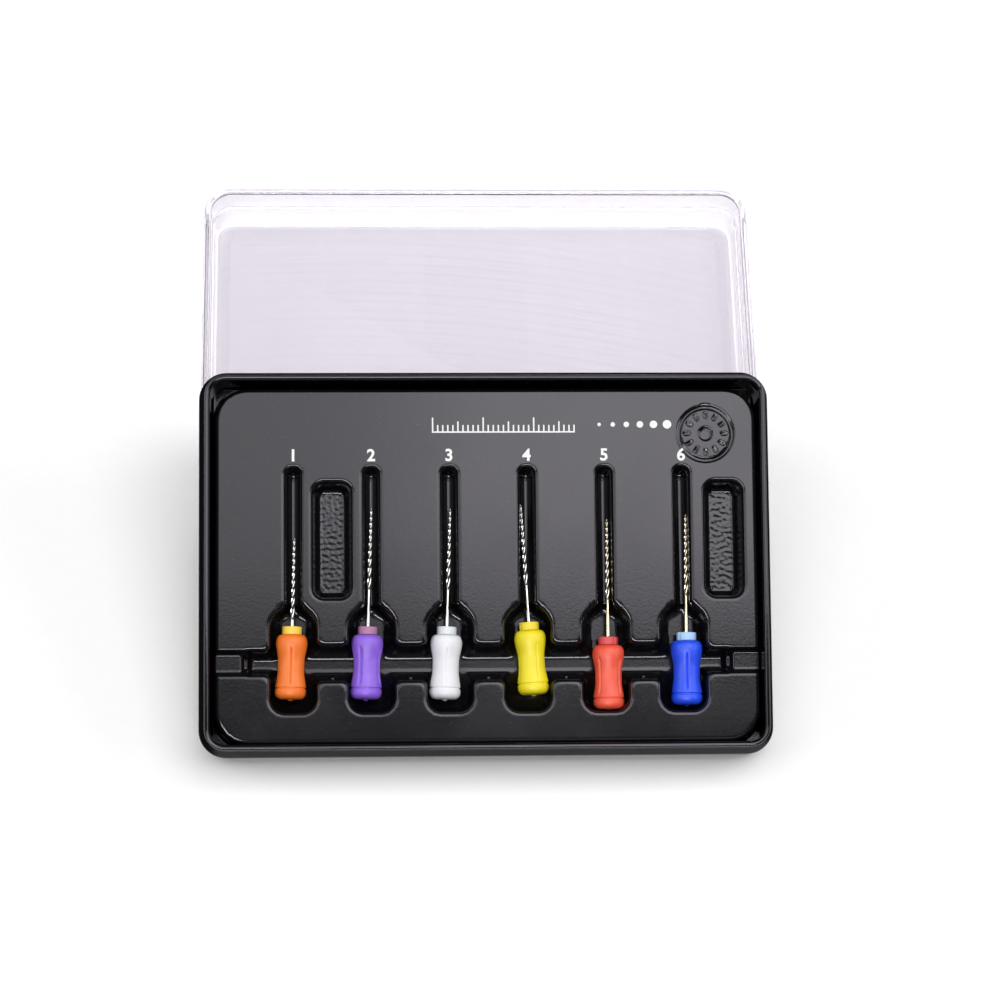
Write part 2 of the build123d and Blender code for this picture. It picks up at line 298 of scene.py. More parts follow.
def ground_metal(name, colour, shade, roughness, line_scale):
    """Ground metal: fine lines across the piece, a slow change of tone, painted shade in grooves.
    """
    material, shader = new_material(name)
    shader.inputs["Metallic"].default_value = 1.0
    place = object_place(material)
    lines = noise(material, object_place(material, (300, line_scale, 300)), 1, 3)
    tone = spread(material, noise(material, place, 400, 2), 0.3, 0.7, 0, 1)
    bright = blend_colours(material, tone, colour, shade)
    groove_shade_mask = node(material, "ShaderNodeAttribute", attribute_name="groove_shade_mask").outputs["Fac"]
    # The near-black in the grooves is painted shade, not a colour of the metal.
    deep = spread(material, groove_shade_mask, GROOVE_EDGE - 0.08, GROOVE_EDGE + 0.08, 0, 1)
    link(material, blend_colours(material, deep, bright, GROOVE_PAINTED_SHADE), shader, "Base Color")
    link(material, spread(material, lines, 0.2, 0.8, roughness * 0.7, roughness * 1.5),
         shader, "Roughness")
    bump(material, shader, lines, 0.01 * MM, 0.4)
    return material


def clear_plastic(name, tint):
    """Clear moulded plastic. Shadow rays pass it by a tinted Transparent shader."""
    material, shader = new_material(name)
    shader.inputs["Base Color"].default_value = (*tint, 1)
    shader.inputs["Transmission Weight"].default_value = 1.0
    shader.inputs["IOR"].default_value = 1.49
    place = object_place(material)
    haze = noise(material, place, 45, 3)
    link(material, spread(material, haze, 0.3, 0.8, 0.015, 0.05), shader, "Roughness")
    bump(material, shader, noise(material, place, 30, 1), 0.03 * MM, 0.25)
    lets_through = node(material, "ShaderNodeBsdfTransparent")
    lets_through.inputs["Color"].default_value = (*[c ** 0.5 for c in tint], 1)
    rays = node(material, "ShaderNodeLightPath")
    both = node(material, "ShaderNodeMixShader", [
        ("Fac", rays.outputs["Is Shadow Ray"]),
    ])
    material.node_tree.links.new(shader.outputs["BSDF"], both.inputs[1])
    material.node_tree.links.new(lets_through.outputs["BSDF"], both.inputs[2])
    output = material.node_tree.nodes["Material Output"]
    material.node_tree.links.new(both.outputs["Shader"], output.inputs["Surface"])
    return material


def print_ink(name, colour):
    """Screen-printed ink: flat white with a faint screen grain and thin spots."""
    material, shader = new_material(name)
    place = object_place(material)
    grain = noise(material, place, 6000, 2)
    thin = spread(material, grain, 0.3, 0.5, 0.0, 1.0)
    shade = tuple(c * 0.82 for c in colour)
    link(material, blend_colours(material, thin, shade, colour), shader, "Base Color")
    link(material, spread(material, grain, 0.2, 0.8, 0.45, 0.65), shader, "Roughness")
    bump(material, shader, grain, 0.01 * MM, 0.4)
    return material


# %% The finishes of this set
HANDLE_COLOURS = {
    "orange": ((0.95, 0.21, 0.02), (0.90, 0.18, 0.015)),
    "purple": ((0.28, 0.125, 0.76), (0.24, 0.105, 0.68)),
    "white": ((0.84, 0.84, 0.87), (0.78, 0.78, 0.83)),
    "yellow": ((0.92, 0.78, 0.01), (0.86, 0.70, 0.01)),
    "red": ((0.90, 0.11, 0.05), (0.82, 0.08, 0.04)),
    "blue": ((0.015, 0.085, 0.92), (0.01, 0.065, 0.84)),
}
STOP_COLOURS = {
    "orange": ((0.95, 0.66, 0.08), (0.91, 0.60, 0.06)),
    "purple": ((0.44, 0.20, 0.36), (0.40, 0.17, 0.32)),
    "white": ((0.72, 0.76, 0.79), (0.66, 0.70, 0.73)),
    "yellow": ((0.88, 0.74, 0.03), (0.82, 0.66, 0.02)),
    "red": ((0.70, 0.07, 0.08), (0.64, 0.06, 0.07)),
    "blue": ((0.42, 0.64, 0.93), (0.38, 0.58, 0.88)),
}
BASE_BLACK = black_plastic("base_gloss", (0.003, 0.003, 0.004), 0.07, 0.01, 1.5, 0.80)
SHEET_BLACK = black_plastic("formed_sheet", (0.004, 0.004, 0.005), 0.13, 0.012, 0.5, 0.76)
CLEAR = clear_plastic("lid_clear", (0.77, 0.745, 0.79))
INK = print_ink("white_print", (0.86, 0.86, 0.86))
CORE_STEEL = ground_metal("core_steel", (0.60, 0.60, 0.61), (0.52, 0.52, 0.53), 0.25, 4000)
BLADE_METAL = ground_metal("blade_metal", (0.80, 0.79, 0.77), (0.66, 0.65, 0.63), 0.10, 6000)
BLADE_GOLD = ground_metal("blade_straw", (0.86, 0.76, 0.55), (0.74, 0.63, 0.43), 0.10, 6000)
HANDLE_SKIN = {c: silicone(f"{c}_handle_skin", *HANDLE_COLOURS[c]) for c in COLOURS}
STOP_SKIN = {c: silicone(f"{c}_stop_skin", *STOP_COLOURS[c], roughness=0.5) for c in COLOURS}
print("finishes:", len(bpy.data.materials))


# %% [markdown]
# ## Meshes from rings
# Most pieces here are one closed loop swept round something: a profile round a rounded
# rectangle for the base and the lid, or round an axis for handles and stops. So one helper joins
# rings of points into a closed skin. Flat stretches get a ring close to each rounded edge, which
# keeps the shading of the flats flat.

# %% Ring and piece helpers
def make_piece(name, points, faces, material, body, stands_for=()):
    """A smooth mesh piece from points in metres, riding on a body and naming its finish."""
    mesh = bpy.data.meshes.new(name)
    mesh.from_pydata([tuple(p) for p in points], [], faces)
    return finish_piece(name, mesh, material, body, stands_for)


def finish_piece(name, mesh, material, body, stands_for=(), smooth=True):
    """Gives a mesh its finish, parents it to its body's empty and hides the pieces it stands for.
    """
    mesh.materials.clear()
    mesh.materials.append(material)
    mesh.polygons.foreach_set("use_smooth", [smooth] * len(mesh.polygons))
    mesh.update()
    piece = bpy.data.objects.new(name, mesh)
    scene.collection.objects.link(piece)
    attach(piece, body)
    if stands_for:
        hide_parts(*stands_for)
    return piece


def ring_faces(ring_count, around, first=0, closed=False):
    """Quads between rings of points; closed joins the last ring to the first."""
    faces = []
    for ring in range(ring_count if closed else ring_count - 1):
        a = first + ring * around
        b = first + (ring + 1) % ring_count * around
        for i in range(around):
            j = (i + 1) % around
            faces.append((a + i, a + j, b + j, b + i))
    return faces


def arc(centre, radius, start, end, steps=6):
    """Points of an arc in a profile; angles in degrees."""
    angles = np.radians(np.linspace(start, end, steps + 1))
    return [(centre[0] + radius * math.cos(a), centre[1] + radius * math.sin(a)) for a in angles]


def with_support(profile, near=0.06, shortest=0.4):
    """Adds a point close to both ends of every long straight stretch of a profile."""
    out = [profile[0]]
    for a, b in zip(profile, profile[1:]):
        a, b = np.array(a, float), np.array(b, float)
        length = np.linalg.norm(b - a)
        if length > shortest:
            step = (b - a) / length * near
            out += [tuple(a + step), tuple(b - step)]
        out.append(tuple(b))
    return out


def rounded_loop(width, depth, corner, inset, steps=10):
    """Points of a rounded rectangle, counterclockwise, drawn in by an inset."""
    radius = max(corner - inset, 0.05)
    reach_x = width / 2 - inset - radius
    reach_y = depth / 2 - inset - radius
    points = []
    for quarter, (sx, sy) in enumerate([(1, 1), (-1, 1), (-1, -1), (1, -1)]):
        for a in np.radians(np.linspace(90 * quarter, 90 * quarter + 90, steps + 1)):
            points.append((sx * reach_x + radius * math.cos(a),
                           sy * reach_y + radius * math.sin(a)))
    return points


def moulded_box(profile, width, depth, corner, centre, axes):
    """Sweeps an (inset, height) profile round a rounded rectangle and caps both ends."""
    rings = []
    for inset, height in profile:
        loop = rounded_loop(width, depth, corner, inset)
        rings += [(centre[0] + x, centre[1] + y, height) for x, y in loop]
    around = len(loop)
    faces = ring_faces(len(profile), around)
    last = (len(profile) - 1) * around
    faces.append(tuple(reversed(range(around))))
    faces.append(tuple(range(last, last + around)))
    return axes.place(rings), faces


def turned(profile, axes, angles, radius_at):
    """Turns a profile of (place along, radius) about a file's axis, with a pole at each end."""
    around = len(angles)
    inner = profile[1:-1]
    points = [(profile[0][0], 0, 0)]
    for along, radius in inner:
        for a in angles:
            r = radius_at(along, radius, a)
            points.append((along, -r * math.sin(a), r * math.cos(a)))
    points.append((profile[-1][0], 0, 0))
    faces = ring_faces(len(inner), around, first=1)
    last = len(points) - 1
    for i in range(around):
        j = (i + 1) % around
        faces.append((0, 1 + j, 1 + i))
        faces.append((last, last - around + i, last - around + j))
    return axes.place(points), faces


ROW = Axes((0, 0, 0), (1, 0, 0), (0, 1, 0), (0, 0, 1))
print("ring helpers ready;", len(rounded_loop(10, 10, 2, 0)), "points to a rounded loop")


# %% [markdown]
# ## The base
# The base is a gloss moulding. Its lower wall stops at a shoulder, where the closed lid's rim
# would sit, and a thin collar goes on up. The design's solid has sharp edges there, but a moulded
# edge is always rounded a little, and those small rounds are what catch the light as thin lines.
# So the base is swept again from the same sizes with its edges rounded and its shoulder sloping
# down to the outside, where the design's is flat.

# %% Base
BASE_CORNER = 5.4
BASE_FLOOR = 1.2
COLLAR_WALL = 1.05
RIM_ROUND, RIM_INNER_ROUND = 0.38, 0.64
SHOULDER_ROUND, SHOULDER_FALL = 0.5, 0.8
FLOOR_ROUND = 0.9

cavity = SHOULDER_WIDTH + COLLAR_WALL
base_profile = with_support(
    [(3.0, 0.0)]
    + arc((EDGE_ROUND, EDGE_ROUND), EDGE_ROUND, 270, 180)
    + arc((SHOULDER_ROUND, SHOULDER_HEIGHT - SHOULDER_FALL - SHOULDER_ROUND),
          SHOULDER_ROUND, 180, 140)
    + [(SHOULDER_WIDTH - 0.1, SHOULDER_HEIGHT - 0.1), (SHOULDER_WIDTH, SHOULDER_HEIGHT + 0.1)]
    + arc((SHOULDER_WIDTH + RIM_ROUND, BASE_HEIGHT - RIM_ROUND), RIM_ROUND, 180, 90)
    + arc((cavity - RIM_INNER_ROUND, BASE_HEIGHT - RIM_INNER_ROUND), RIM_INNER_ROUND, 90, 0)
    + arc((cavity + FLOOR_ROUND, BASE_FLOOR + FLOOR_ROUND), FLOOR_ROUND, 180, 270)
    + [(cavity + 4.0, BASE_FLOOR)]
)
points, faces = moulded_box(
    base_profile, TRAY_WIDTH, TRAY_DEPTH, BASE_CORNER, (0, TRAY_DEPTH / 2), TRAY
)
base = make_piece("base_moulding", points, faces, BASE_BLACK, "tray", ["base"])
print("base:", len(base.data.polygons), "faces")


# %% [markdown]
# ## The lid
# The lid lies open side up. Its wall is thin above an inner step, which would stop on the tray's
# collar, and thicker below. Clear plastic is judged by its edges: each rounded rim gathers the
# light into a bright line between two tinted bands, so the rim, the step and the floor's corner
# are all rounded in the profile.

# %% Lid
LID_WALL = 1.5
LID_STEP = 0.6
LID_PANEL = 1.2
LID_ROUND = 1.5
LID_FLOOR_ROUND = 1.2
LID_RIM_ROUND = 0.4
LID_DRAFT = math.tan(math.radians(0.5))
LID_CORNER = 5.8
STEP_GAP = 0.1

lid_height = lid_high[2] - lid_low[2]
lid_middle = ((lid_low + lid_high) / 2)[1]
lid_width = lid_high[0] - lid_low[0]
lid_depth = lid_high[1] - lid_low[1]
step_height = lid_height - (BASE_HEIGHT - SHOULDER_HEIGHT + STEP_GAP)
foot_inset = lid_height * LID_DRAFT
inner = LID_WALL + LID_STEP
inner_foot = inner + (step_height - LID_PANEL) * LID_DRAFT
lid_profile = with_support(
    [(foot_inset + 5.0, 0.0)]
    + arc((foot_inset + LID_ROUND, LID_ROUND), LID_ROUND, 270, 180, 8)
    + arc((LID_RIM_ROUND, lid_height - LID_RIM_ROUND), LID_RIM_ROUND, 180, 90)
    + arc((LID_WALL - LID_RIM_ROUND, lid_height - LID_RIM_ROUND), LID_RIM_ROUND, 90, 0)
    + arc((LID_WALL + 0.2, step_height + 0.2), 0.2, 180, 270, 4)
    + arc((inner - 0.2, step_height - 0.2), 0.2, 90, 0, 4)
    + arc((inner_foot + LID_FLOOR_ROUND, LID_PANEL + LID_FLOOR_ROUND),
          LID_FLOOR_ROUND, 180, 270, 8)
    + [(inner_foot + 6.0, LID_PANEL)]
)
points, faces = moulded_box(
    lid_profile, lid_width, lid_depth, LID_CORNER, (0, lid_middle), ROW
)
make_piece("lid_moulding", points, faces, CLEAR, "lid", ["lid"])
print("lid:", round(lid_width, 1), "by", round(lid_depth, 1), "by", round(lid_height, 1), "mm")


# %% [markdown]
# ## The formed insert
# The insert is one sheet, heated and drawn over a mould, so every edge is soft and every wall
# leans. Such a surface is a height above each point of a plan. The hollows are drawn as distance
# functions: negative inside, zero on the outline. Joining the wells, their necks and the trough
# with a smooth union gives the shoulders that real forming gives, and one wall profile, run on
# the distance in from the outline, rounds all their edges. The handle wells have bowls for
# floors, but the floor is flat in the trough and where the stops slide. The grid of points is
# fine only where something happens.

# %% Insert: sizes from the design
PLATEAU = 8.8
PLATEAU_MARGIN = {"left": 4.2, "right": 3.6, "front": 3.3, "back": 4.4}
PITCH = 15.34
COLUMN_SHIFT = 0.44
COLUMNS = [COLUMN_SHIFT + (i - 2.5) * PITCH for i in range(6)]
SLOT_HALF, SLOT_BACK, SLOT_DEPTH = 2.2, 57.5, 4.3
WELL_HALF, WELL_FRONT, WELL_BACK, WELL_DEPTH = 5.3, 7.9, 26.3, 5.8
WELL_CORNER, SQUARE_CORNER = 3.7, 0.5
NECK_BACK, NECK_SMOOTH, SHOULDER_SMOOTH = 29.8, 1.8, 1.2
SHOULDER_ROOM = 0.5  # the shoulders stand back this far, so that the stop clears them
SHOULDER_LENGTH = math.hypot(NECK_BACK - WELL_BACK, WELL_HALF - SLOT_HALF)
TROUGH_FRONT, TROUGH_BACK = 14.1, 22.4
TROUGH_END_FRONT, TROUGH_END_BACK = 15.4, 21.4
TROUGH_INSET = 4.3
TROUGH_MIDDLE, FLAT_FLOOR_HALF = 18.2, 1.5
TOOTH_SMOOTH = 1.4
SADDLE_DEPTH = 2.0
LEDGE, LEDGE_DEPTH = 1.0, 3.7
POCKET_HALF_X, POCKET_HALF_Y, POCKET_MIDDLE = 4.5, 12.15, 42.45
POCKET_DEPTH, POCKET_CORNER = 5.3, 3.0
POCKET_X = [COLUMNS[0] + SLOT_HALF + 0.9 + POCKET_HALF_X,
            COLUMNS[-1] + SLOT_HALF + 1.6 + POCKET_HALF_X]
LIP_HEIGHT = 1.8
LIP_FIT = 0.15
BLEND_POWER = 10  # drops join like the longest side of a box, with a slightly rounded crease

left = -TRAY_WIDTH / 2 + PLATEAU_MARGIN["left"]
right = TRAY_WIDTH / 2 - PLATEAU_MARGIN["right"]
front = PLATEAU_MARGIN["front"]
back = TRAY_DEPTH - PLATEAU_MARGIN["back"]
print("plateau:", round(right - left, 1), "by", round(back - front, 1), "mm")


# %% Insert: distance functions and the wall profile
def box_distance(x, y, low_x, high_x, low_y, high_y, corner_low, corner_high=None):
    """Distance to a rounded box; its corners may differ at the low and the high end of y."""
    corner_high = corner_low if corner_high is None else corner_high
    cx, cy = (low_x + high_x) / 2, (low_y + high_y) / 2
    corner = np.where(y > cy, corner_high, corner_low)
    dx = np.abs(x - cx) - (high_x - low_x) / 2 + corner
    dy = np.abs(y - cy) - (high_y - low_y) / 2 + corner
    outside = np.hypot(np.maximum(dx, 0), np.maximum(dy, 0))
    return outside + np.minimum(np.maximum(dx, dy), 0) - corner


def soft_min(a, b, width):
    """The lower of two fields, with the crease between them rounded over a width."""
    h = np.clip(0.5 + 0.5 * (b - a) / width, 0, 1)
    return b * (1 - h) + a * h - width * h * (1 - h)


def wall_drop(inward, depth, top_round, floor_round, draft):
    """How far the sheet has dropped at a distance in from an outline."""
    lean = math.radians(draft)
    turn = np.radians(np.linspace(0, 90 - draft, 9))
    across_top, down_top = top_round * np.sin(turn), top_round * (1 - np.cos(turn))
    across_low, down_low = floor_round * np.sin(turn), floor_round * (1 - np.cos(turn))
    wall = depth - down_top[-1] - down_low[-1]
    reach = across_top[-1] + wall * math.tan(lean) + across_low[-1]
    places = np.concatenate([across_top, reach - across_low[::-1]])
    drops = np.concatenate([down_top, depth - down_low[::-1]])
    return np.interp(inward, places, drops)


def fine_axis(low, high, busy, fine, coarse):
    """Grid places from low to high, close together inside the busy spans."""
    cuts = sorted({low, high, *[min(max(c, low), high) for span in busy for c in span]})
    places = [low]
    for a, b in zip(cuts, cuts[1:]):
        step = fine if any(s <= (a + b) / 2 <= e for s, e in busy) else coarse
        places += list(np.linspace(a, b, max(1, math.ceil((b - a) / step)) + 1)[1:])
    return np.array(places)


def insert_height(x, y):
    """Height of the sheet's upper surface above the tray's origin plane."""
    wells = np.full_like(x, 99.0)
    slots = np.full_like(x, 99.0)
    for column in COLUMNS:
        well = box_distance(x, y, column - WELL_HALF, column + WELL_HALF, WELL_FRONT, NECK_BACK,
                            WELL_CORNER, SQUARE_CORNER)
        slant = ((np.abs(x - column) - WELL_HALF) * (NECK_BACK - WELL_BACK)
                 + (y - WELL_BACK) * (WELL_HALF - SLOT_HALF)) / SHOULDER_LENGTH - SHOULDER_ROOM
        well = -soft_min(-well, -slant, SHOULDER_SMOOTH)
        neck = box_distance(x, y, column - SLOT_HALF, column + SLOT_HALF, WELL_BACK - 6,
                            NECK_BACK + 1.0, 1.2)
        wells = np.minimum(wells, soft_min(well, neck, NECK_SMOOTH))
        slot = box_distance(x, y, column - SLOT_HALF, column + SLOT_HALF, WELL_BACK - 6, SLOT_BACK,
                            SQUARE_CORNER, SLOT_HALF - 0.05)
        slots = np.minimum(slots, slot)
    trough = box_distance(x, y, COLUMNS[0], COLUMNS[-1], TROUGH_FRONT, TROUGH_BACK, 0.5)
    ends = box_distance(x, y, left + TROUGH_INSET, right - TROUGH_INSET, TROUGH_END_FRONT,
                        TROUGH_END_BACK, 1.2)
    deep = soft_min(soft_min(wells, trough, TOOTH_SMOOTH), ends, TOOTH_SMOOTH)
    pockets = np.full_like(x, 99.0)
    for middle in POCKET_X:
        pockets = np.minimum(pockets, box_distance(
            x, y, middle - POCKET_HALF_X, middle + POCKET_HALF_X, POCKET_MIDDLE - POCKET_HALF_Y,
            POCKET_MIDDLE + POCKET_HALF_Y, POCKET_CORNER))
    saddle = box_distance(x, y, left - 9, right + 9, TROUGH_END_FRONT + 0.2,
                          TROUGH_END_BACK - 0.2, 0.5)
    outside = box_distance(x, y, left, right, front, back, 5.6)
    ledge = box_distance(x, y, left + TROUGH_INSET - LEDGE, right - TROUGH_INSET + LEDGE,
                         TROUGH_END_FRONT + 0.5, TROUGH_END_BACK - 0.5, 1.0)
    step = np.clip(np.round((x - COLUMN_SHIFT) / PITCH - 0.5), -3, 2)
    nearest = COLUMN_SHIFT + (step + 0.5) * PITCH
    stop_run = np.clip((3.0 - np.abs(x - nearest)) / 0.6, 0, 1) * (y > TROUGH_MIDDLE)
    flat_floor = np.clip((FLAT_FLOOR_HALF + 1 - np.abs(y - TROUGH_MIDDLE)) / 1.5, 0, 1)
    flat_floor = np.maximum(flat_floor, stop_run)
    bowl = wall_drop(-deep, WELL_DEPTH, 0.75, 3.0, 7)
    bath = wall_drop(-deep, WELL_DEPTH, 0.75, 1.1, 7)
    drops = [
        bowl * (1 - flat_floor) + bath * flat_floor,
        wall_drop(-slots, SLOT_DEPTH, 0.7, 1.25, 8),
        wall_drop(-pockets, POCKET_DEPTH, 0.7, 1.0, 12),
        wall_drop(-saddle, SADDLE_DEPTH, 0.5, 0.6, 12),
        wall_drop(-ledge, LEDGE_DEPTH, 0.5, 0.6, 14),
        wall_drop(outside, PLATEAU - LIP_HEIGHT, 1.0, 0.4, 5),
    ]
    return PLATEAU - sum(drop ** BLEND_POWER for drop in drops) ** (1 / BLEND_POWER)


# %% Insert: ring mark, vent marks and rough pocket floors
RING_PLACE = (right - 9.2, back - 8.3)
RING_RADIUS, RING_HALF, RING_PRESS = 5.3, 0.35, 0.3
BOSS_RADIUS, TICK_COUNT = 1.3, 12


def soft_edge(distance, width=0.15):
    """1 inside, 0 outside, with a soft edge."""
    return np.clip(0.5 - distance / (2 * width), 0, 1)


def ring_mark(x, y):
    """A plain pressed ring with ticks and a boss."""
    dx, dy = x - RING_PLACE[0], y - RING_PLACE[1]
    reach = np.hypot(dx, dy)
    turn = np.arctan2(dy, dx) * TICK_COUNT / (2 * math.pi)
    off_tick = np.abs(turn - np.round(turn)) * 2 * math.pi / TICK_COUNT * reach
    tick = np.maximum(off_tick - 0.2, np.abs(reach - 3.75) - 0.6)
    ring = np.abs(reach - RING_RADIUS) - RING_HALF
    boss = reach - BOSS_RADIUS
    return -RING_PRESS * soft_edge(np.minimum(np.minimum(ring, tick), boss))


def rough_floors(x, y):
    """The pocket floors' coarse grain: a sum of seeded ripples at mixed angles."""
    draw = np.random.default_rng(7)
    grain = np.zeros_like(x)
    for _ in range(60):
        angle = draw.uniform(0, math.pi)
        pitch, phase = draw.uniform(0.55, 1.3), draw.uniform(0, 6.28)
        along = x * math.cos(angle) + y * math.sin(angle)
        grain += np.sin(2 * math.pi * along / pitch + phase)
    inside = np.zeros_like(x)
    for middle in POCKET_X:
        floor = box_distance(x, y, middle - 2.3, middle + 2.3, POCKET_MIDDLE - 9.9,
                             POCKET_MIDDLE + 9.9, 1.5)
        inside = np.maximum(inside, soft_edge(floor, 0.5))
    return 0.0035 * grain * inside


# %% Insert: the grid and the piece
half_cavity = TRAY_WIDTH / 2 - cavity - LIP_FIT
busy_x = [(-half_cavity, left + 1.8), (right - 1.8, half_cavity),
          (RING_PLACE[0] - 5.9, RING_PLACE[0] + 5.9),
          (left + 2.4, left + 7.4), (right - 7.4, right - 2.4)]
for column in COLUMNS:
    for side in (-1, 1):
        busy_x.append(tuple(sorted((column + side * 0.9, column + side * 2.7))))
        busy_x.append(tuple(sorted((column + side * 3.3, column + side * 5.9))))
for middle in POCKET_X:
    busy_x += [(middle - 4.9, middle + 4.9)]
busy_y = [(cavity + LIP_FIT, front + 1.5), (back - 1.4, TRAY_DEPTH - cavity - LIP_FIT),
          (7.4, 11.4), (13.4, 23.0), (25.4, 58.0), (RING_PLACE[1] - 5.9, RING_PLACE[1] + 5.9)]
FINE, COARSE = 0.26, 0.7
grid_x = fine_axis(-half_cavity, half_cavity, busy_x, FINE, COARSE)
grid_y = fine_axis(cavity + LIP_FIT, TRAY_DEPTH - cavity - LIP_FIT, busy_y, FINE, COARSE)
plan_x, plan_y = np.meshgrid(grid_x, grid_y)
plan_z = insert_height(plan_x, plan_y) + ring_mark(plan_x, plan_y) + rough_floors(plan_x, plan_y)
top = np.stack([plan_x, plan_y, plan_z], -1).reshape(-1, 3)
columns_count, rows_count = len(grid_x), len(grid_y)
index = np.arange(rows_count * columns_count).reshape(rows_count, columns_count)
corners = [index[:-1, :-1], index[:-1, 1:], index[1:, 1:], index[1:, :-1]]
quads = np.stack(corners, -1).reshape(-1, 4)
border = np.concatenate([index[0, :-1], index[:-1, -1], index[-1, :0:-1], index[:0:-1, 0]])
foot = top[border] * (1, 1, 0) + (0, 0, BASE_FLOOR)
first = len(top)
faces = [tuple(q) for q in quads.tolist()]
count = len(border)
for i in range(count):
    j = (i + 1) % count
    faces.append((int(border[i]), first + i, first + j, int(border[j])))
faces.append(tuple(first + i for i in reversed(range(count))))
make_piece("insert_sheet", TRAY.place(np.concatenate([top, foot])), faces, SHEET_BLACK,
           "tray", ["insert"])
print("insert:", columns_count, "by", rows_count, "points,", 2 * len(quads), "triangles")


# %% [markdown]
# ## Handles
# A handle is silicone rubber moulded round a steel shank, in a shape that fingers can roll: a
# round shoulder, a waist, a thin ring and a rounded foot with the small nub of the mould's gate.
# Its outline is a rule, so it is turned from a formula. The four lengthwise creases only change
# the radius near four angles, so the loop of points is dense there and sparse in between.

# %% Handles
HANDLE_LENGTH = 12.6
FACE_RADIUS, SHOULDER_RADIUS, WAIST_RADIUS, FOOT_RADIUS = 2.2, 3.12, 2.6, 3.06
SHOULDER_PLACE, WAIST_FRONT, WAIST_BACK, RING_BACK = 1.6, 5.2, 7.0, 10.3
RING_WIDTH, RING_DEPTH = 0.34, 0.2
END_ROUND = 1.3
NUB_RADIUS, NUB = 0.5, 0.3
CORE_RADIUS = 1.175
CREASE_WIDTH, CREASE_DEPTH = 0.15, 0.32
CREASE_START, CREASE_END = 2.6, 9.6
CREASE_TURN = {"orange": 0, "purple": -27, "white": 0, "yellow": 22, "red": -42, "blue": -4}
CREASE_SHARE = {"orange": 1.0, "purple": 1.5, "white": 0.5, "yellow": 0.3, "red": 0.9, "blue": 1.0}


def ease(place, start, end):
    """0 before start, 1 after end, smooth between."""
    t = np.clip((place - start) / (end - start), 0, 1)
    return t * t * (3 - 2 * t)


def handle_radius(back):
    """Radius of a handle at a distance back from its front face."""
    if back < SHOULDER_PLACE:
        rise = math.sqrt(max(0, 1 - (1 - back / SHOULDER_PLACE) ** 2))
        return FACE_RADIUS + (SHOULDER_RADIUS - FACE_RADIUS) * rise
    if back < WAIST_BACK:
        fall = ease(back, SHOULDER_PLACE, WAIST_FRONT)
        return SHOULDER_RADIUS + (WAIST_RADIUS - SHOULDER_RADIUS) * fall
    radius = WAIST_RADIUS + (FOOT_RADIUS - WAIST_RADIUS) * ease(back, WAIST_BACK, RING_BACK + 0.5)
    in_ring = abs(back - RING_BACK - RING_WIDTH / 2) / (RING_WIDTH / 2)
    return radius - RING_DEPTH * math.exp(-in_ring ** 4)


def handle_profile():
    """(place along, radius) from the bore's end, out over the front face and back to the nub."""
    face = [(-CORE_LENGTH - CORE_RECESS, 0), (-CORE_LENGTH - CORE_RECESS, CORE_RADIUS),
            (-0.12, CORE_RADIUS), (0, CORE_RADIUS + 0.12), (0, FACE_RADIUS - 0.25)]
    places = [*np.linspace(0.03, 1.5, 10), *np.linspace(1.8, RING_BACK - 0.3, 30),
              *np.linspace(RING_BACK - 0.12, RING_BACK + RING_WIDTH + 0.12, 14),
              HANDLE_LENGTH - END_ROUND - 0.15]
    body = [(-back, handle_radius(back)) for back in places]
    end = arc((-HANDLE_LENGTH + END_ROUND, FOOT_RADIUS - END_ROUND), END_ROUND, 90, 180, 9)
    nub = [(-HANDLE_LENGTH, NUB_RADIUS + 0.12), (-HANDLE_LENGTH - 0.08, NUB_RADIUS),
           (-HANDLE_LENGTH - NUB + 0.1, NUB_RADIUS - 0.04),
           (-HANDLE_LENGTH - NUB, NUB_RADIUS - 0.2),
           (-HANDLE_LENGTH - NUB, 0)]
    return face + body + end + nub


def loop_angles(focus, around, near):
    """Angles round a piece, evenly spread, with more of them near the ones in focus."""
    angles = list(np.linspace(0, 2 * math.pi, around, endpoint=False))
    for middle in focus:
        angles = [a for a in angles
                  if abs((a - middle + math.pi) % (2 * math.pi) - math.pi) > near[-1] * 1.2]
        angles += [middle + side * step for step in near for side in (-1, 1)] + [middle]
    return np.array(sorted(a % (2 * math.pi) for a in angles))


def crease_radius(colour):
    """A handle's radius with its creases, as a rule for the turned() helper."""
    first = math.radians(CREASE_TURN[colour])

    def radius_at(along, radius, angle):
        if not CREASE_START - 0.6 < -along < CREASE_END + 0.6:
            return radius
        off = (angle - first + math.pi / 4) % (math.pi / 2) - math.pi / 4
        fade = ease(-along, CREASE_START - 0.4, CREASE_START + 0.5)
        fade *= 1 - ease(-along, CREASE_END - 0.5, CREASE_END + 0.4)
        width = CREASE_WIDTH * (1 + 0.6 * (CREASE_SHARE[colour] > 1.2))
        dip = math.exp(-((off * WAIST_RADIUS / width) ** 2))
        swell = 0.12 * math.exp(-((off * WAIST_RADIUS / 0.7) ** 2)) * (CREASE_SHARE[colour] > 1.2)
        return radius - fade * (CREASE_SHARE[colour] * CREASE_DEPTH * dip - swell)

    return radius_at


for colour in COLOURS:
    focus = [math.radians(CREASE_TURN[colour]) + quarter * math.pi / 2 for quarter in range(4)]
    angles = loop_angles(focus, 56, [0.02, 0.045, 0.075, 0.115, 0.17, 0.25])
    points, faces = turned(handle_profile(), FILES[colour], angles, crease_radius(colour))
    handle = make_piece(f"{colour}_grip", points, faces, HANDLE_SKIN[colour], f"{colour}_file",
                        [f"{colour}_handle"])
print("handles:", len(handle.data.polygons), "faces each")


# %% [markdown]
# ## Stops
# A stop is a short silicone disc on the shaft that marks a working length. Its slit points at the
# side of the file that a dentist wants to keep track of, and it lets the disc be pulled on. The
# outline is a circle with the slit cut in, and the disc is that outline taken along the shaft with
# its corners rounded.

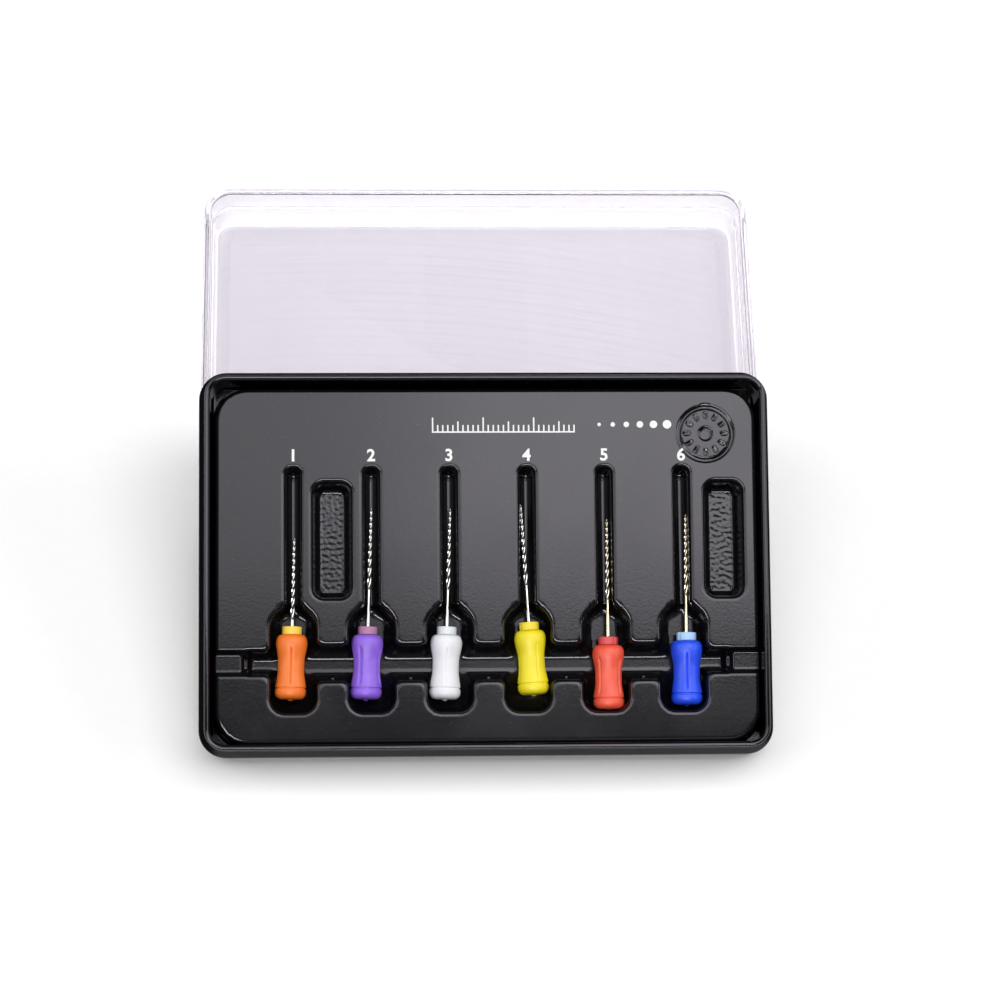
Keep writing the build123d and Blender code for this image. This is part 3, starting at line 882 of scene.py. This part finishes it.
# %% Stops
STOP_RADIUS, STOP_THICKNESS, STOP_BORE = 1.95, 1.6, 0.55
STOP_GAP, STOP_ROUND = 0.05, 0.14
SLIT_HALF, SLIT_BOTTOM = 0.15, 1.05
SLIT_TURN = {"orange": 200, "purple": 150, "white": 190, "yellow": 62, "red": -36, "blue": 52}


def stop_outline(inset, bore, first, steps=60):
    """A loop of a stop: its outside with the slit, or its bore with the same count of points."""
    radius = STOP_RADIUS - inset
    edge, root = math.asin(SLIT_HALF / radius), math.asin(SLIT_HALF / SLIT_BOTTOM)
    loop = [(radius, a) for a in np.linspace(edge, 2 * math.pi - edge, steps)]
    loop += [(SLIT_BOTTOM, -root), (SLIT_BOTTOM - 0.02, 0.0), (SLIT_BOTTOM, root)]
    if bore:
        even = np.linspace(edge, 2 * math.pi - edge, steps)
        loop = [(STOP_BORE - inset, a) for a in [*even, -edge / 2, 0.0, edge / 2]]
    return [(r * math.cos(a + first), r * math.sin(a + first)) for r, a in loop]


for colour in COLOURS:
    first = math.radians(90 - SLIT_TURN[colour])
    low, high = STOP_GAP, STOP_GAP + STOP_THICKNESS
    part_round = STOP_ROUND * 0.3
    layers = [(-0.05, low, True), (STOP_ROUND, low, False), (part_round, low + part_round, False),
              (0.0, low + STOP_ROUND, False), (0.0, high - STOP_ROUND, False),
              (part_round, high - part_round, False), (STOP_ROUND, high, False),
              (-0.05, high, True), (0.0, high - 0.05, True), (0.0, low + 0.05, True)]
    points = []
    for inset, along, bore in layers:
        points += [(along, x, y) for x, y in stop_outline(inset, bore, first)]
    count = len(points) // len(layers)
    faces = ring_faces(len(layers), count, closed=True)
    stop = make_piece(f"{colour}_disc", FILES[colour].place(points), faces, STOP_SKIN[colour],
                      f"{colour}_stop", [f"{colour}_stop"])
print("stops:", len(stop.data.polygons), "faces each")


# %% [markdown]
# ## Blades
# A blade is ground from nickel-titanium wire: a three-sided section that turns as it tapers to
# the tip, so the light catches it as a row of short bright marks. That is a rule, so Geometry
# Nodes make it: a line, a three-lobed outline swept along it, with the turn and the taper as
# fields. The outline stores how deep each point is cut, as an attribute, and the metal's colour
# is painted near-black there: painted shade for the dark slot the grooves would mirror. The
# plain shaft behind the flutes is a second, round sweep.

# %% Blade tree
def node_tree(name, sockets):
    """A Geometry Nodes group with named inputs; returns it with its input and output nodes."""
    tree = bpy.data.node_groups.new(name, "GeometryNodeTree")
    tree.interface.new_socket("Geometry", in_out="INPUT", socket_type="NodeSocketGeometry")
    for socket, kind in sockets:
        tree.interface.new_socket(socket, in_out="INPUT", socket_type=f"NodeSocket{kind}")
    tree.interface.new_socket("Geometry", in_out="OUTPUT", socket_type="NodeSocketGeometry")
    return tree, tree.nodes.new("NodeGroupInput"), tree.nodes.new("NodeGroupOutput")


def add_node(tree, kind, links=(), **values):
    """Adds a node to a tree; links are (input, source) pairs, values set unlinked inputs."""
    made = tree.nodes.new(kind)
    for key, value in values.items():
        if hasattr(made, key) and key not in made.inputs:
            setattr(made, key, value)
        else:
            made.inputs[key].default_value = value
    for target, source in links:
        tree.links.new(source, made.inputs[target])
    return made


def arithmetic(tree, operation, first, second=None):
    """One Math node; each side is a socket or a number."""
    made = tree.nodes.new("ShaderNodeMath")
    made.operation = operation
    for slot, side in enumerate((first, second)):
        if side is None:
            continue
        if isinstance(side, (int, float)):
            made.inputs[slot].default_value = side
        else:
            tree.links.new(side, made.inputs[slot])
    return made.outputs[0]


def finish_tree(tree, given, result, last):
    """Ends a tree with real geometry in the piece's material, and returns it."""
    realized = add_node(tree, "GeometryNodeRealizeInstances", [("Geometry", last.outputs[0])])
    finished = add_node(tree, "GeometryNodeSetMaterial", [
        ("Geometry", realized.outputs[0]), ("Material", given.outputs["Material"])])
    tree.links.new(finished.outputs[0], result.inputs[0])
    return tree


def blade_tree():
    """Sweeps a three-lobed outline from one point to another, then a plain shaft behind it."""
    tree, given, result = node_tree("fluted_blade", [
        ("Shaft Start", "Vector"), ("Flute Start", "Vector"), ("Tip", "Vector"),
        ("Shaft Radius", "Float"), ("Flute Radius", "Float"), ("Tip Radius", "Float"),
        ("Turns", "Float"), ("Lobe Depth", "Float"), ("Material", "Material")])
    outline = add_node(tree, "GeometryNodeCurvePrimitiveCircle", Resolution=48, Radius=1.0)
    round_place = tree.nodes.new("GeometryNodeSplineParameter").outputs["Factor"]
    wave = arithmetic(tree, "COSINE", arithmetic(tree, "MULTIPLY", round_place, 3 * math.pi))
    share = arithmetic(tree, "SUBTRACT", 1.0, arithmetic(tree, "ABSOLUTE", wave))
    cut = arithmetic(tree, "MULTIPLY", share, given.outputs["Lobe Depth"])
    keep = arithmetic(tree, "SUBTRACT", 1.0, cut)
    place = tree.nodes.new("GeometryNodeInputPosition").outputs[0]
    lobed_place = add_node(tree, "ShaderNodeVectorMath", operation="SCALE")
    tree.links.new(place, lobed_place.inputs[0])
    tree.links.new(keep, lobed_place.inputs["Scale"])
    lobed = add_node(tree, "GeometryNodeSetPosition", [
        ("Geometry", outline.outputs["Curve"]), ("Position", lobed_place.outputs[0])])
    # Stores the cut depth; the metal's colour paints shade into the grooves by it.
    marked = add_node(tree, "GeometryNodeStoreNamedAttribute", [
        ("Geometry", lobed.outputs[0]), ("Value", share)], Name="groove_shade_mask")
    line = add_node(tree, "GeometryNodeCurvePrimitiveLine", [
        ("Start", given.outputs["Flute Start"]), ("End", given.outputs["Tip"])])
    steps = add_node(tree, "GeometryNodeResampleCurve", [("Curve", line.outputs[0])], Count=200)
    along = tree.nodes.new("GeometryNodeSplineParameter").outputs["Factor"]
    slow = arithmetic(tree, "MULTIPLY", along, 0.6)
    fast = arithmetic(tree, "MULTIPLY", arithmetic(tree, "POWER", along, 2.0), 0.4)
    hurry = arithmetic(tree, "ADD", slow, fast)
    turn = arithmetic(tree, "MULTIPLY", hurry, arithmetic(
        tree, "MULTIPLY", given.outputs["Turns"], 2 * math.pi))
    tilted = add_node(tree, "GeometryNodeSetCurveTilt", [
        ("Curve", steps.outputs[0]), ("Tilt", turn)])
    taper = add_node(tree, "ShaderNodeMapRange", [
        ("Value", along), ("To Min", given.outputs["Flute Radius"]),
        ("To Max", given.outputs["Tip Radius"])])
    flutes = add_node(tree, "GeometryNodeCurveToMesh", [
        ("Curve", tilted.outputs[0]), ("Profile Curve", marked.outputs[0]),
        ("Scale", taper.outputs["Result"])])
    flutes.inputs["Fill Caps"].default_value = True
    shaft_line = add_node(tree, "GeometryNodeCurvePrimitiveLine", [
        ("Start", given.outputs["Shaft Start"]), ("End", given.outputs["Flute Start"])])
    shaft_round = add_node(tree, "GeometryNodeCurvePrimitiveCircle", Resolution=36, Radius=1.0)
    shaft = add_node(tree, "GeometryNodeCurveToMesh", [
        ("Curve", shaft_line.outputs[0]), ("Profile Curve", shaft_round.outputs[0]),
        ("Scale", given.outputs["Shaft Radius"])])
    shaft.inputs["Fill Caps"].default_value = True
    joined = tree.nodes.new("GeometryNodeJoinGeometry")
    tree.links.new(flutes.outputs[0], joined.inputs[0])
    tree.links.new(shaft.outputs[0], joined.inputs[0])
    return finish_tree(tree, given, result, joined)


def mesh_from_tree(tree, name, settings, base_mesh=None):
    """Runs a tree on an object and returns the result as a plain mesh."""
    holder = bpy.data.objects.new(name, base_mesh or bpy.data.meshes.new(name))
    scene.collection.objects.link(holder)
    modifier = holder.modifiers.new(name, "NODES")
    modifier.node_group = tree
    for item in tree.interface.items_tree:
        if item.in_out == "INPUT" and item.name in settings:
            modifier[item.identifier] = settings[item.name]
    evaluated = holder.evaluated_get(bpy.context.evaluated_depsgraph_get())
    mesh = bpy.data.meshes.new_from_object(evaluated)
    holder.modifiers.remove(modifier)
    bpy.data.objects.remove(holder)
    return mesh


# %% Blades
SHAFT_RADIUS, FLUTE_RADIUS, TIP_RADIUS = 0.4, 0.5, 0.2
FLUTE_LENGTH, SHORTEST_SHAFT = 16.0, 2.2
LOBE_SPACING, LOBE_DEPTH = 1.55, 0.62
WORKING_LENGTH = {colour: 25.0 for colour in COLOURS}
WORKING_LENGTH["orange"] = 19.0
BLADE_FINISH = {colour: (BLADE_METAL, "blade_metal") for colour in COLOURS}
BLADE_FINISH["red"] = BLADE_FINISH["blue"] = (BLADE_GOLD, "gold_blade")

blades = blade_tree()
for colour in COLOURS:
    metal, finish_slot = BLADE_FINISH[colour]
    tip = WORKING_LENGTH[colour]
    flute_start = max(tip - FLUTE_LENGTH, SHORTEST_SHAFT)
    ends = FILES[colour].place([(-CORE_RECESS - 6.0, 0, 0), (flute_start, 0, 0), (tip, 0, 0)])
    mesh = mesh_from_tree(blades, f"{colour}_fluted_blade", {
        "Shaft Start": tuple(ends[0]), "Flute Start": tuple(ends[1]), "Tip": tuple(ends[2]),
        "Shaft Radius": SHAFT_RADIUS * MM, "Flute Radius": FLUTE_RADIUS * MM,
        "Tip Radius": TIP_RADIUS * MM, "Turns": (tip - flute_start) / LOBE_SPACING / 3,
        "Lobe Depth": LOBE_DEPTH, "Material": metal})
    blade = finish_piece(f"{colour}_fluted_blade", mesh, metal, f"{colour}_file",
                         [f"{colour}_blade"])
print("blades:", len(blade.data.polygons), "faces each")


# %% [markdown]
# ## Print
# The numerals, the length scale and the row of dots are screen print, a film of ink that stands
# a few hundredths of a millimetre proud. The numerals are text made mesh; the scale and the dots
# are exact in the design already, so they stay and only get the ink.

# %% Numerals
INK_THICKNESS = 0.06
NUMERAL_SIZE = 3.3
NUMERAL_PLACE = SLOT_BACK + 1.75

for number, column in enumerate(COLUMNS, start=1):
    text = bpy.data.curves.new(f"numeral_{number}", "FONT")
    text.body = str(number)
    text.size = NUMERAL_SIZE
    text.align_x, text.align_y = "CENTER", "CENTER"
    text.offset = 0.09
    text.extrude = INK_THICKNESS / 2
    text.resolution_u = 8
    holder = bpy.data.objects.new(text.name, text)
    scene.collection.objects.link(holder)
    evaluated = holder.evaluated_get(bpy.context.evaluated_depsgraph_get())
    mesh = bpy.data.meshes.new_from_object(evaluated)
    bpy.data.objects.remove(holder)
    flat = np.array([v.co for v in mesh.vertices])
    flat[:, :2] -= (flat.min(0) + flat.max(0))[:2] / 2
    placed = TRAY.place(flat + (column, NUMERAL_PLACE, PLATEAU + INK_THICKNESS / 2))
    mesh.vertices.foreach_set("co", placed.ravel())
    stands_for = ["printed_numerals"] if number == 1 else []
    finish_piece(f"printed_numeral_{number}", mesh, INK, "tray", stands_for,
                 smooth=False)
print("numerals 1 to", number)


# %% [markdown]
# ## Vent marks
# Formed sheet is sucked on to its mould through small vents, and each leaves a pimple. They sit
# where air would be trapped: on the trough's lower edge between wells, in the pocket floors'
# corners, and near each slot's end. Geometry Nodes put one flattened ball on each point.

# %% Vent marks
def vent_tree():
    """Puts a flattened ball on every point, turned to the tray."""
    tree, given, result = node_tree("vent_marks", [
        ("Radius", "Float"), ("Height", "Float"), ("Lean", "Float"), ("Material", "Material")])
    points = add_node(tree, "GeometryNodeMeshToPoints", [("Mesh", given.outputs["Geometry"])])
    ball = add_node(tree, "GeometryNodeMeshUVSphere", Segments=20, Rings=10, Radius=1.0)
    size = add_node(tree, "ShaderNodeCombineXYZ", [
        ("X", given.outputs["Radius"]), ("Y", given.outputs["Radius"]),
        ("Z", given.outputs["Height"])])
    turn = add_node(tree, "ShaderNodeCombineXYZ", [("X", given.outputs["Lean"])])
    copies = add_node(tree, "GeometryNodeInstanceOnPoints", [
        ("Points", points.outputs[0]), ("Instance", ball.outputs["Mesh"]),
        ("Rotation", turn.outputs[0]), ("Scale", size.outputs[0])])
    return finish_tree(tree, given, result, copies)


VENT_RADIUS, VENT_HEIGHT = 0.38, 0.2
SLOT_VENT_PLACE = 54.9
vent_places = [(column, SLOT_VENT_PLACE) for column in COLUMNS]
vent_places += [((a + b) / 2, TROUGH_FRONT + 1.3) for a, b in zip(COLUMNS, COLUMNS[1:])]
for middle in POCKET_X:
    vent_places += [(middle + sx * 2.0, POCKET_MIDDLE + sy * 9.4)
                    for sx in (-1, 1) for sy in (-1, 1)]
vent_xy = np.array(vent_places)
vent_z = insert_height(vent_xy[:, 0], vent_xy[:, 1])
vent_points = bpy.data.meshes.new("vent_points")
vent_points.from_pydata(
    [tuple(p) for p in TRAY.place(np.column_stack([vent_xy, vent_z]))], [], [])
mesh = mesh_from_tree(vent_tree(), "vent_marks", {
    "Radius": VENT_RADIUS * MM, "Height": VENT_HEIGHT * MM, "Lean": math.asin(RISE),
    "Material": SHEET_BLACK,
}, vent_points)
finish_piece("vent_marks", mesh, SHEET_BLACK, "tray")
print("vent marks:", len(vent_places))


# %% [markdown]
# ## The carried-over pieces and the floor
# Cores, the scale and the dots keep their exact shapes from the design and only take a finish.
# The floor is a plain pale sheet.

# %% Finishes on the design's own pieces
carried = {f"{colour}_core": CORE_STEEL for colour in COLOURS}
carried.update(printed_scale=INK, printed_dots=INK)
for name, finish in carried.items():
    piece = frame["nodes"][name]
    piece.data.materials.clear()
    piece.data.materials.append(finish)
print("carried over:", sorted(carried))


# %% Floor
TABLE_LIGHT = 0.08
floor_finish, floor_shader = new_material("pale_floor")
grain = noise(floor_finish, object_place(floor_finish), 300, 2)
link(floor_finish, blend_colours(floor_finish, grain, (0.86, 0.86, 0.86), (0.90, 0.90, 0.90)),
     floor_shader, "Base Color")
floor_shader.inputs["Roughness"].default_value = 0.7
floor_shader.inputs["Emission Color"].default_value = (1, 1, 1, 1)
floor_shader.inputs["Emission Strength"].default_value = TABLE_LIGHT
FLOOR_HALF = 2.5
floor_mesh = bpy.data.meshes.new("floor")
floor_corners = [(x * FLOOR_HALF, y * FLOOR_HALF, 0)
                 for x, y in ((-1, -1), (1, -1), (1, 1), (-1, 1))]
floor_mesh.from_pydata(floor_corners, [], [(0, 1, 2, 3)])
floor_mesh.materials.append(floor_finish)
floor = bpy.data.objects.new("floor", floor_mesh)
scene.collection.objects.link(floor)


# %% Update the view layer
bpy.context.view_layer.update()
